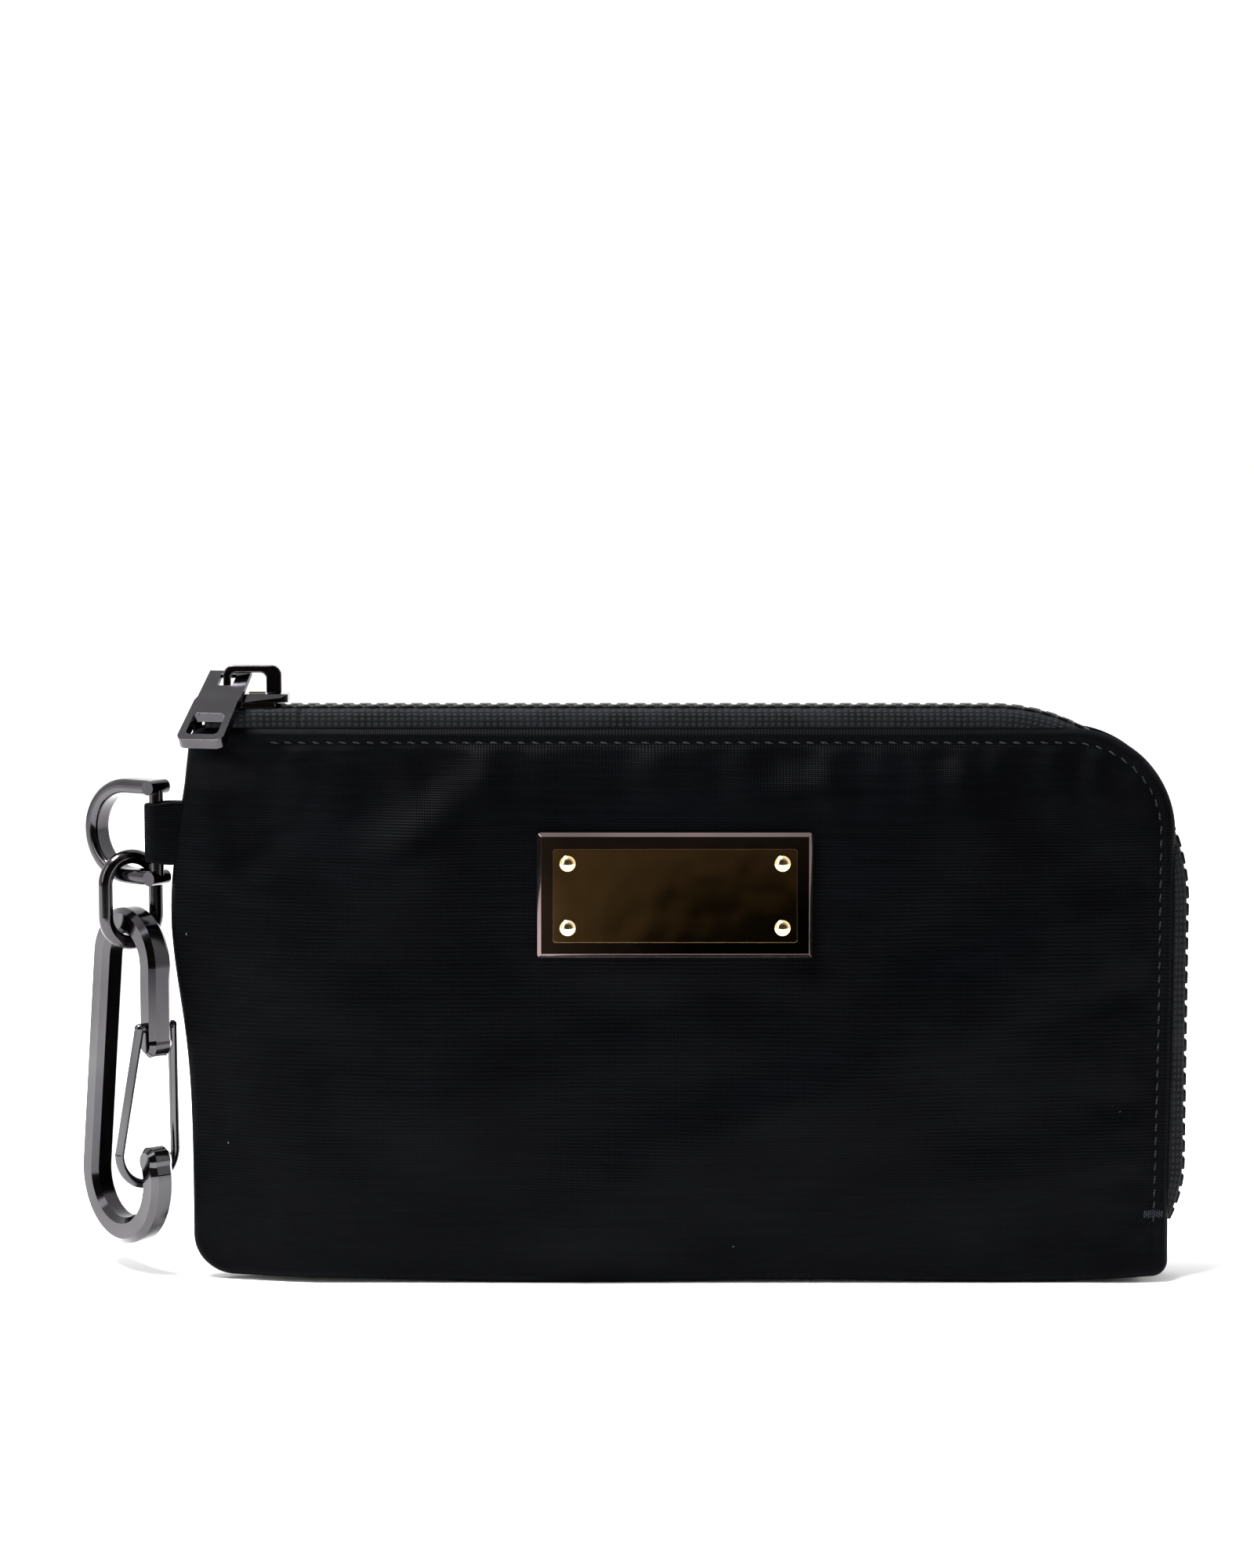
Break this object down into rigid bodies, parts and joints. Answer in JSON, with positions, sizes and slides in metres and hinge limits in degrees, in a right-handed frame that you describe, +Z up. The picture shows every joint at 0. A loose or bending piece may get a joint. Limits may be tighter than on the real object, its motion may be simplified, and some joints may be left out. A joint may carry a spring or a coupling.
{
  "type": "zippered pouch",
  "caption": "Flat rectangular fabric pouch with an L-shaped zip, a riveted plate, and a D-ring, link and wire-gate clip on its side seam.",
  "frame": {"origin": "centre of the flat base the pouch stands on, midway between its two panels", "axes": "+X from the side seam to the zipped right edge, +Y from the front to the back, +Z up towards the zip"},
  "size_m": [0.2222, 0.035, 0.123],
  "materials": {
    "nylon": "ribbed woven nylon",
    "lining": "plain woven lining",
    "zip_tape": "woven zip tape",
    "zip_teeth": "moulded, satin",
    "dark_plate": "dark plated, mirror",
    "gold_plate": "gold plated, mirror",
    "rivet_gold": "pale gold plated",
    "washer_steel": "plain",
    "slider_metal": "dark plated, cast",
    "spring_brass": "plain",
    "pull_metal": "dark plated, cast",
    "hook_metal": "dark plated, cast and polished",
    "wire_metal": "dark plated wire"
  },
  "bodies": {
    "pouch": {"back_panel": "nylon", "back_lining": "lining", "front_panel": "nylon", "front_lining": "lining", "base_strip": "nylon", "side_gore": "nylon", "inner_pocket": "lining", "zip_tape_back": "zip_tape", "zip_teeth_back": "zip_teeth", "zip_tape_end": "zip_tape", "zip_teeth_end": "zip_teeth", "zip_top_stops": "zip_teeth", "zip_bottom_stop": "zip_teeth", "ring_strap": "nylon"},
    "flap": {"flap_panel": "nylon", "flap_lining": "lining", "zip_tape_front": "zip_tape", "zip_teeth_front": "zip_teeth", "plate_base": "dark_plate", "plate_face": "gold_plate", "plate_rivets": "rivet_gold", "plate_washer": "washer_steel"},
    "slider": {"slider_body": "slider_metal", "slider_bail": "slider_metal", "slider_lock_spring": "spring_brass"},
    "pull": {"pull_tab": "pull_metal"},
    "ring": {"d_ring": "hook_metal"},
    "link": {"chain_link": "hook_metal"},
    "clip": {"clip_body": "hook_metal"},
    "gate": {"clip_gate": "wire_metal"}
  },
  "joints": [
    {"name": "mouth_open", "type": "hinge", "parent": "pouch", "child": "flap", "pos_m": [-0.097, -0.011, 0.097], "axis": [0.8999, 0, -0.436], "range_deg": [0, 20]},
    {"name": "slider_travel", "type": "slide", "parent": "pouch", "child": "slider", "axis": [1, 0, 0], "range_m": [0, 0.138]},
    {"name": "pull_swing", "type": "hinge", "parent": "slider", "child": "pull", "pos_m": [-0.08965, 0, 0.1197], "axis": [-0.9744, 0.225, 0], "range_deg": [0, 70]},
    {"name": "ring_swivel", "type": "hinge", "parent": "pouch", "child": "ring", "pos_m": [-0.104, 0, 0.0897], "axis": [0, 0, 1], "range_deg": [-40, 20]},
    {"name": "link_swing", "type": "hinge", "parent": "ring", "child": "link", "pos_m": [-0.1098, 0.00391, 0.079], "axis": [-0.5299, 0.848, 0], "range_deg": [0, 50]},
    {"name": "clip_swing", "type": "hinge", "parent": "link", "child": "clip", "pos_m": [-0.1098, 0.00391, 0.0632], "axis": [0.766, 0.6428, 0], "range_deg": [-40, 25]},
    {"name": "gate_open", "type": "hinge", "parent": "clip", "child": "gate", "pos_m": [-0.10434, -0.0026, 0.0512], "axis": [0.766, 0.6428, 0], "range_deg": [0, 22], "stiffness_Nm_per_rad": 0.05, "springref_deg": -11.46}
  ]
}
